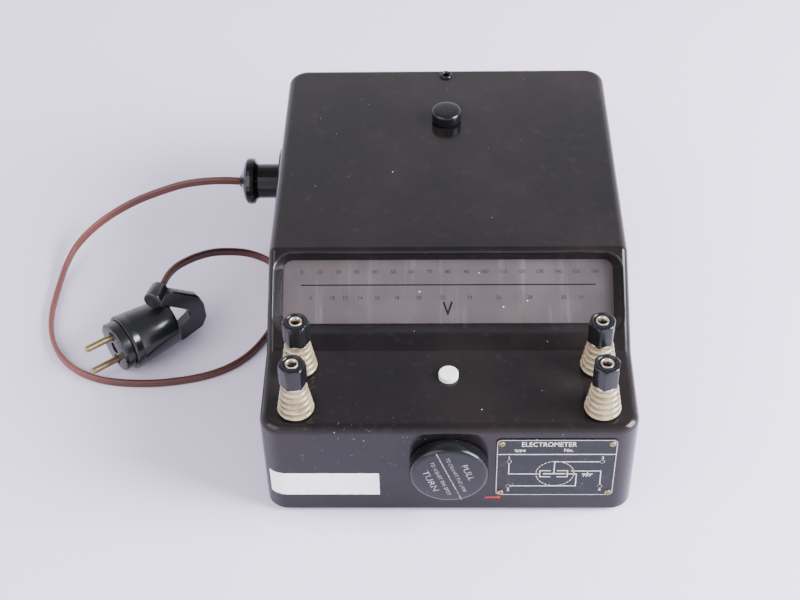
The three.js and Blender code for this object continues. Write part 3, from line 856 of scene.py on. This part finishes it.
def slotted_head(radius, height, shank=0.0):
    """A low domed screw head about Z with a slot across X."""
    shape = [(1, 0.25), (0.93, 0.55), (0.72, 0.84), (0.4, 0.97)]
    crown = [(radius * across, height * up) for across, up in shape]
    dome = lathe([(0, -shank), (radius, -shank), *crown, (0, height)], 40)
    slot = block((-radius * 1.2, -radius * 0.13, height * 0.45), (radius * 1.2, radius * 0.13, height * 2))
    return carved(dome, cut=[slot])


# ---- terminals ----
# Heights above the deck.
CAP_FOOT = 22.6
STUD_END = 27


def hex_loop(radius_limit, flat, height):
    """A hexagon whose sides lie flat millimetres from the middle, with corners turned off at a radius."""
    points = []
    for i in range(96):
        turn = i * math.tau / 96
        bend = (turn + math.pi / 6) % (math.pi / 3) - math.pi / 6
        side = flat / math.cos(bend)
        reach = min(side, radius_limit)
        points.append((reach * math.cos(turn), reach * math.sin(turn), height))
    return points


def insulator():
    """Five ribs that shrink upwards, with real gaps between them, round a straight bore."""
    bore, base, ribs, pitch = 3.35, 5.1, 5, 4
    profile = [(bore, -4), (base, -4), (base, 0.3)]
    for i in range(ribs):
        radius = 10.6 - i * 0.66
        low = 0.3 + i * pitch
        neck = radius - 3.6
        rib = arc(radius - 1.25, low + 1.95, 1.2, -84, 84, 10)
        profile += [(neck, low + 0.5), *rib, (neck, low + 3.4)]
    profile += [(5.4, 20.5), (6.5, 20.6), (6.4, 21), (bore, 21), (bore, -4)]
    return lathe(profile, 72)


def hex_cap():
    """A hexagonal screw cap with a rounded crown and a socket in its top."""
    limit, flat, crown = 8.0, 7.1, 1.9
    loops = [
        hex_loop(limit - 0.5, 6.6, CAP_FOOT),
        hex_loop(limit, flat, CAP_FOOT + 0.6),
        hex_loop(limit, flat, CAP_FOOT + 12.9),
    ]
    for i in range(1, 8):
        a = i * math.pi / 14
        height = CAP_FOOT + 13.4 + crown * math.sin(a)
        loops.append(hex_loop(limit - crown * (1 - math.cos(a)), flat, height))
    for radius, height in ((5.7, 15.3), (5.3, 14.9), (4.2, 14.8)):
        loops.append(hex_loop(radius, flat, CAP_FOOT + height))
    thread_hole = rod(3.3, CAP_FOOT - 1, CAP_FOOT + 10, 32)
    socket_hole = rod(4.0, CAP_FOOT + 9, CAP_FOOT + 16, 40)
    return carved(loft(loops), cut=[thread_hole, socket_hole])


def add_terminal(number, x, y, turn):
    lift = f"terminal_{number}_lift"
    spin = f"terminal_{number}_turn"
    matrix = placed(x, y, DECK)
    node = f"terminal_{number}_"
    made(f"insulator_{number}", insulator(), matrix, "amber_plastic", [node + "insulator"], 50)
    edge = [(6.3, 21.3), (6.5, 21.5), (6.5, 22.1), (6.3, 22.3)]
    washer = lathe([(3.4, 21.3), *edge, (3.4, 22.3), (3.4, 21.3)], 48)
    made(f"contact_{number}", washer, matrix, "nickel", [node + "washer"], body=lift)
    stud = threaded(3.0, -16, STUD_END)
    made(f"threaded_stud_{number}", stud, matrix, "brass", [node + "stud"], 50)
    cap = shifted(hex_cap(), 0, 0, turn)
    made(f"hex_cap_{number}", cap, matrix, "knob_black", [node + "cap"], 28, body=spin)
    ring = [(2.75, 9.2), (3.85, 9.2), (3.85, 15.2), (3.6, 15.6), (3.15, 15.5), (2.75, 14.9), (2.75, 9.2)]
    eye = lathe([(radius, CAP_FOOT + height) for radius, height in ring], 64)
    made(f"socket_{number}", eye, matrix, "nickel", smooth=40, body=spin)


def threaded(radius, low, high, pitch=1.0, segments=24):
    """A rod with a real helical thread, and the nut under the deck that holds it."""
    depth = 0.35
    rows = int((high - low) / pitch * 4)
    loops = []
    for row in range(rows + 1):
        z = low + (high - low) * row / rows
        loop = []
        for i in range(segments):
            turn = i * math.tau / segments
            phase = (z / pitch - i / segments) % 1
            reach = radius - depth * abs(2 * phase - 1)
            loop.append((reach * math.cos(turn), reach * math.sin(turn), z))
        loops.append(loop)
    nut = [hex_loop(5.5, 4.7, z) for z in (-9, -4.3)]
    return merged(loft(loops), loft(nut))


# ---- knobs and button ----
# How far the lamp knob's face stands in front of the case, and the lean of the line across it from upright.
KNOB_FACE = 10
DIVIDER = math.radians(-19.6)


def add_button():
    stem = [(0, -11), (1.6, -11), (1.6, -5.5)]
    collar = [(7.2, -5.5), (7.2, -4.3), (5.75, -4.3)]
    head = [(5.75, 2.5), *arc(5.05, 2.5, 0.7, 0, 90, 5), (3, 3.28), (0, 3.3)]
    cap = lathe([*stem, *collar, *head], 64)
    made("white_button", cap, placed(*BUTTON, DECK), "white_plastic", ["button_cap"], 50, body="button")


def add_spring():
    """The button's return spring."""
    low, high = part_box("button_spring")
    travel, wire, turns, sides, steps = 2.0, 0.36, 6, 10, 24
    base = Vector(((low.x + high.x) / 2, (low.y + high.y) / 2, low.z))
    reach = (high.x - low.x) / 2 / MM - wire
    height = (high.z - low.z) / MM
    loops = []
    for i in range(turns * steps + 1):
        turn = i * math.tau / steps
        z = wire + (height - 2 * wire) * i / (turns * steps)
        ring = []
        for j in range(sides):
            a = j * math.tau / sides
            out = reach + wire * math.cos(a)
            ring.append((out * math.cos(turn), out * math.sin(turn), z + wire * math.sin(a)))
        loops.append(ring)
    matrix = Matrix.Translation(base) @ Matrix.Scale(MM, 4)
    coil = made("coil_spring", loft(loops), matrix, "sheet_steel", ["button_spring"], 60)
    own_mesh(coil)


def add_pull_knob():
    face = [(0, -KNOB_FACE), (19.6, -KNOB_FACE), *arc(19.9, -7.2, 2.8, -90, 0, 8)]
    rim = [(22.75, -6), (22.75, -1.6), (22.2, -0.8), (21.4, -0.5)]
    neck = [(13.7, -0.5), (13.7, 11), (0, 11)]
    groove = moved(block((-0.3, -21, -10.5), (0.3, 21, -9.75)), Matrix.Rotation(DIVIDER, 4, "Z"))
    knob = moved(carved(lathe([*face, *rim, *neck], 128), cut=[groove]), ALONG_Y)
    made("pull_knob", knob, placed(0, 0, LAMP_Z), "knob_black", ["lamp_knob"], 30, body="lamp")


def add_zero_knob():
    gap = 0.66
    low = top_height(HEAD_Y) + gap
    side = [(0, low), (8.6, low), (9.3, low + 0.5), (9.7, low + 1.4), (9.7, low + 6.4)]
    crown = [*arc(7.5, low + 6.4, 2.2, 0, 78, 7), (5.5, low + 8.85), (2.5, low + 8.97), (0, low + 9)]
    knob = lathe([*side, *crown], 96)
    made("zero_dial", knob, placed(0, HEAD_Y, 0), "knob_black", ["zero_knob"], 40, body="torsion_head")


def add_ferrule():
    """The eyelet round the screw at the top's rear."""
    rim = top_height(FERRULE_Y)
    outside = [(2.2, rim - 5), (3.1, rim - 5), (3.1, rim + 0.6), (4.25, rim + 0.6), (4.25, rim + 0.9)]
    inside = [(2.3, rim + 1.1), (2.2, rim + 0.6), (2.2, rim - 5)]
    eyelet = lathe([*outside, *arc(3.35, rim + 0.9, 0.95, 0, 130, 7), *inside], 56)
    made("screw_eyelet", eyelet, placed(0, FERRULE_Y, 0), "knob_black", ["top_ferrule"], 60)


# ---- printing ----
# Turns a drawing in the XY plane, facing +Z, to stand on the case's front.
ON_FRONT = Matrix(((1, 0, 0, 0), (0, 0, -1, 0), (0, 1, 0, 0), (0, 0, 0, 1)))


def lettering(words, height, length=None, thick=0.03):
    """Words in the XY plane, centred, with capitals of that height and, if given, that length."""
    curve = bpy.data.curves.new("words", "FONT")
    curve.body = words
    curve.size = height / 0.7
    curve.extrude = thick
    curve.resolution_u = 3
    curve.align_x = "CENTER"
    curve.align_y = "CENTER"
    mesh = evaluated_mesh(linked("words", curve))
    bm = bmesh.new()
    bm.from_mesh(mesh)
    bpy.data.meshes.remove(mesh)
    bpy.data.curves.remove(curve)
    if length:
        wide = max(v.co.x for v in bm.verts) - min(v.co.x for v in bm.verts)
        bm.transform(Matrix.Diagonal((length / wide, 1, 1, 1)))
    return bm


def stroke(points, width, closed=False, thick=0.03):
    """A drawn line in the XY plane as flat strips."""
    bm = bmesh.new()
    ends = points[1:] + points[:1] if closed else points[1:]
    for n, (a, b) in enumerate(zip(points, ends)):
        a, b = Vector(a), Vector(b)
        along = (b - a).normalized() * width / 2
        side = Vector((-along.y, along.x))
        low = -thick * (1 + 0.1 * (n % 2))
        corners = [a - along - side, b + along - side, b + along + side, a - along + side]
        lower = [bm.verts.new((*c, low)) for c in corners]
        upper = [bm.verts.new((*c, -low)) for c in corners]
        bridge(bm, lower, upper)
        bm.faces.new(list(reversed(lower)))
        bm.faces.new(upper)
    return bm


def hoop(x, y, radius, width, dashes=0):
    """A drawn circle, whole or dashed."""
    if not dashes:
        return stroke(arc(x, y, radius, 0, 352, 44), width, closed=True)
    step = 360 / dashes
    parts = [stroke(arc(x, y, radius, i * step, (i + 0.5) * step, 4), width) for i in range(dashes)]
    return merged(*parts)


def plate_outline(half_x, half_y, radius):
    """A rounded rectangle about the plate's middle."""
    return [(x + 61.4, y + 37.6) for x, y in rounded(half_x, half_y, radius)]


def circuit_drawing():
    """The cell's two electrodes and vane, wired to four numbered terminals, under a title."""
    fine, line = 0.3, 0.5
    spots = [(34.5, 43.3), (34.5, 21.2), (87.8, 43.3), (87.8, 21.2)]
    words = [
        ("ELECTROMETER", 3.9, 31, 56.7, 58.2),
        ("type", 2.6, None, 40.5, 53.3),
        ("No.", 2.6, None, 68.0, 53.3),
    ]
    numbers = zip((1, 2, 3, 4), spots, (3.2, -3.4, 3.2, -3.4))
    drawn = [
        stroke(plate_outline(33.8, 24.3, 2.6), fine, closed=True),
        stroke([(27.6, 49.7), (95.2, 49.7)], 0.55),
        *[hoop(x, y, 1.2, 0.45) for x, y in spots],
        hoop(61.2, 32.6, 10.9, 0.36, dashes=30),
        stroke([(34.5, 42.0), (34.5, 32.3), (52.5, 32.3)], line),
        stroke([(58.4, 35.2), (52.5, 35.2), (52.5, 29.7), (58.4, 29.7)], line),
        stroke([(62.5, 35.2), (68.4, 35.2), (68.4, 29.7), (62.5, 29.7)], line),
        stroke([(54.7, 32.5), (67.0, 32.5)], 0.8),
        stroke([(60.6, 32.7), (60.6, 43.2), (86.5, 43.2)], line),
        stroke([(68.4, 32.3), (73.6, 32.3), (73.6, 21.4), (35.8, 21.4)], line),
        stroke([(70.7, 34.9), (87.5, 34.9), (87.7, 22.5)], line),
        stroke([(79.9, 34.9), (79.9, 32.4)], line),
        stroke([(77.2, 32.2), (82.6, 32.2)], 0.7),
        *[stroke([(x, 32.0), (x - 1.1, 30.2)], line) for x in (78.6, 80.4, 82.2)],
        *[shifted(lettering(text, high, long), x, y) for text, high, long, x, y in words],
        *[shifted(lettering(str(n), 2.4), x, y + rise) for n, (x, y), rise in numbers],
    ]
    return merged(*drawn)


def add_circuit_plate():
    """The front plate with its drawing and four screws."""
    outline, inner = plate_outline(34.6, 25.2, 3), plate_outline(34.4, 25.0, 2.8)
    sections = [(outline, 0.02), (outline, 0.45), (inner, 0.6)]
    plate = loft([[(x, y, z) for x, y in loop] for loop, z in sections])
    made("circuit_panel", moved(plate, ON_FRONT), IN_CASE, "nameplate_black", ["circuit_plate"])
    sheet = moved(circuit_drawing(), Matrix.Translation((0, 0, 0.62)))
    made("circuit_drawing", moved(sheet, ON_FRONT), IN_CASE, "pale_lines", slot="nickel")
    screws = [(29.9, 58.8, 40), (92.6, 58.9, -25), (30, 15.5, 62), (92.8, 15.5, 35)]
    for i, (x, y, turn) in enumerate(screws, 1):
        head = shifted(slotted_head(2.0, 1.1), x, y, turn)
        head = moved(head, ON_FRONT @ Matrix.Translation((0, 0, 0.55)))
        made(f"plate_screw_{i}", head, IN_CASE, "brass")


def add_label():
    """A blank paper label that runs round the front's left corner."""
    bend, reach, length = (-95, 13), 13.1, 54.5
    turns = [0.8 - 0.1 * i for i in range(8)]
    path = [(bend[0] - reach * math.sin(a), bend[1] - reach * math.cos(a)) for a in turns]
    path += [(bend[0] + length * i / 20, -0.1) for i in range(21)]
    bm = bmesh.new()
    rng = random.Random(7)
    rows = [13.0, 18, 23, 28, 32.2]
    front, back = [], []
    for x, y in path:
        lift = 0.10 + 0.05 * rng.random()
        jog = [rng.uniform(-0.15, 0.15), 0, 0, 0, rng.uniform(-0.12, 0.12)]
        front.append([bm.verts.new((x, y - lift, z + j)) for z, j in zip(rows, jog)])
        back.append([bm.verts.new((x, y, z + j)) for z, j in zip(rows, jog)])
    for a, b, c, d in zip(front, front[1:], back, back[1:]):
        for i in range(len(rows) - 1):
            bm.faces.new((a[i], b[i], b[i + 1], a[i + 1]))
            bm.faces.new((c[i], c[i + 1], d[i + 1], d[i]))
        bm.faces.new((a[0], c[0], d[0], b[0]))
        bm.faces.new((a[-1], b[-1], d[-1], c[-1]))
    for a, c in ((front[0], back[0]), (front[-1], back[-1])):
        for i in range(len(rows) - 1):
            bm.faces.new((a[i], a[i + 1], c[i + 1], c[i]))
    made("paper_tag", bm, IN_CASE, "paper_label", slot="white_plastic")


def add_paint_mark():
    """A dab of red paint with ragged edges, low on the front."""
    rng = random.Random(11)
    upper = [(21.3 + i * 0.9, 10.6 + 0.05 * i + rng.uniform(-0.2, 0.45)) for i in range(11)]
    lower = [(30.2 - i * 0.9, 9.4 - 0.02 * i + rng.uniform(-0.3, 0.25)) for i in range(11)]
    outline = upper + lower
    mark = loft([[(x, y, z) for x, y in outline] for z in (0.02, 0.12)])
    made("paint_mark", moved(mark, ON_FRONT), IN_CASE, "red_paint", slot="knob_black")


def add_scale_print():
    """Two rows of numbers, a line between them and a V, on the glass in its recess."""
    level = Matrix.Translation((0, 0, -8.76))
    left, right, high, thick = -88.3, 88.5, 2.3, 0.02
    # The lower row's numbers stand further apart as they rise, with the square of their value.
    upper = [(value, value / 160, 50.7) for value in range(0, 170, 10)]
    lower_values = (5, 10, 12, 14, 16, 18, 20, 22, 24, 26, 28, 30, 31)
    lower = [(value, 0.0075 + value * value * 0.000982, 34.6) for value in lower_values]
    numbers = []
    for value, share, y in upper + lower:
        x = left + (right - left) * share
        numbers.append(shifted(lettering(str(value), high, thick=thick), x, y))
    numbers = on_slope(moved(merged(*numbers), level))
    made("scale_numbers", numbers, IN_CASE, "scale_ink", slot="knob_black")
    letter = stroke([(-2.5, 31.6), (-0.1, 24.6), (2.3, 31.6)], 1.05, thick=thick)
    line = stroke([(left, 42.6), (right, 42.6)], 0.75, thick=thick)
    drawn = on_slope(moved(merged(letter, line), level))
    made("scale_line", drawn, IN_CASE, "line_ink", slot="knob_black")


def add_knob_words():
    """The divider and the instructions on the lamp knob, filled with worn paint."""
    rows = [
        ("PULL", 3.7, 14, 11.2),
        ("TO CHANGE THE LAMP", 2.2, 32, 4.2),
        ("TO ADJUST THE SPOT", 2.2, 31, -5.2),
        ("TURN", 3.7, 19, -11.4),
    ]
    words = merged(*[shifted(lettering(text, high, long), 0, y) for text, high, long, y in rows])
    words = moved(words, Matrix.Rotation(math.radians(-90) - DIVIDER, 4, "Z"))
    bar = stroke([(0, -21.2), (0, 21.2)], 0.7, thick=0.05)
    bar = moved(bar, Matrix.Rotation(-DIVIDER, 4, "Z"))
    for name, drawn, out in (("knob_words", words, KNOB_FACE), ("knob_divider", bar, 9.93)):
        drawn = moved(drawn, ON_FRONT @ Matrix.Translation((0, 0, out)))
        made(name, drawn, placed(0, 0, LAMP_Z), "worn_lettering", slot="white_plastic", body="lamp")


# ---- small fixings and what the cell hangs from ----
def add_fixings():
    upside_down = turned(180, "X")
    for i, (x, y) in enumerate(SCREW_SPOTS, 1):
        head = shifted(slotted_head(3.4, 1.6), 0, 0, 37 * i)
        made(f"base_screw_{i}", moved(head, upside_down), placed(x, y, 0.6), "sheet_steel")
    rim = top_height(FERRULE_Y)
    screw = shifted(slotted_head(1.9, 1.0, 4.0), 0, 0, 20)
    made("rear_screw", screw, placed(0, FERRULE_Y, rim - 4.5), "brass")
    pillar = loft([hex_loop(4.6, 4.0, z) for z in (BENCH + 0.1, rim - 9.2)])
    made("rear_pillar", pillar, placed(0, FERRULE_Y, 0), "brass")
    strip = block((-0.6, -0.05, 55), (0.6, 0.05, 61.6))
    bmesh.ops.bevel(strip, geom=list(strip.edges), offset=0.02, segments=1, affect="EDGES")
    made("suspension_strip", strip, placed(0, HEAD_Y, 0), "brass", body="moving_vane")


# ---- floor, world and lights ----
LIGHTS_AIM = Vector((0, 0, 0.05))


def add_stage():
    bm = bmesh.new()
    bmesh.ops.create_grid(bm, x_segments=1, y_segments=1, size=6)
    floor = linked("floor", mesh_of("floor", bm))
    floor.data.materials.append(Finish("floor", (0.86, 0.8, 0.99), 0.9).material)


def add_world():
    world = bpy.data.worlds.new("studio")
    world.use_nodes = True
    tree = world.node_tree
    direction = tree.nodes.new("ShaderNodeTexCoord")
    parts = tree.nodes.new("ShaderNodeSeparateXYZ")
    ramp = tree.nodes.new("ShaderNodeValToRGB")
    tree.links.new(direction.outputs["Generated"], parts.inputs[0])
    tree.links.new(parts.outputs[2], ramp.inputs[0])
    tree.links.new(ramp.outputs[0], tree.nodes["Background"].inputs["Color"])
    ramp.color_ramp.elements[0].color = (0.8, 0.78, 0.86, 1)
    ramp.color_ramp.elements[0].position = 0.2
    ramp.color_ramp.elements[1].color = (0.15, 0.145, 0.16, 1)
    ramp.color_ramp.elements[1].position = 0.9
    tree.nodes["Background"].inputs["Strength"].default_value = 2.6
    bpy.context.scene.world = world


def add_light(name, place, size, power, color):
    data = bpy.data.lights.new(name, "AREA")
    data.shape = "RECTANGLE"
    data.size, data.size_y = size
    data.energy = power
    data.color = color
    light = linked(name, data)
    light.location = place
    light.rotation_mode = "QUATERNION"
    light.rotation_quaternion = (LIGHTS_AIM - Vector(place)).to_track_quat("-Z", "Y")


# ---- everything in order ----
add_camera()
add_plug()
add_lead()
add_case()
CAP_TURNS = (38, 30, 50, 44)
for number, (spot, turn) in enumerate(zip(TERMINALS, CAP_TURNS), 1):
    add_terminal(number, *spot, turn)
add_button()
add_spring()
add_pull_knob()
add_zero_knob()
add_ferrule()
add_circuit_plate()
add_label()
add_paint_mark()
add_scale_print()
add_knob_words()
add_fixings()

SLOTS = {m["node"]: m["material_slot"] for m in frame["record"]["subparts"]}
for node, item in frame["nodes"].items():
    if not item.hide_render:
        item.data.materials.clear()
        item.data.materials.append(MATERIALS[SLOTS[node]])

add_stage()
add_world()
add_light("window", (1.35, -0.35, 0.75), (0.9, 1.1), 115, (0.9, 0.94, 1.0))
add_light("fill", (-1.3, -1.0, 1.4), (1.8, 1.6), 36, (1.0, 0.98, 0.96))
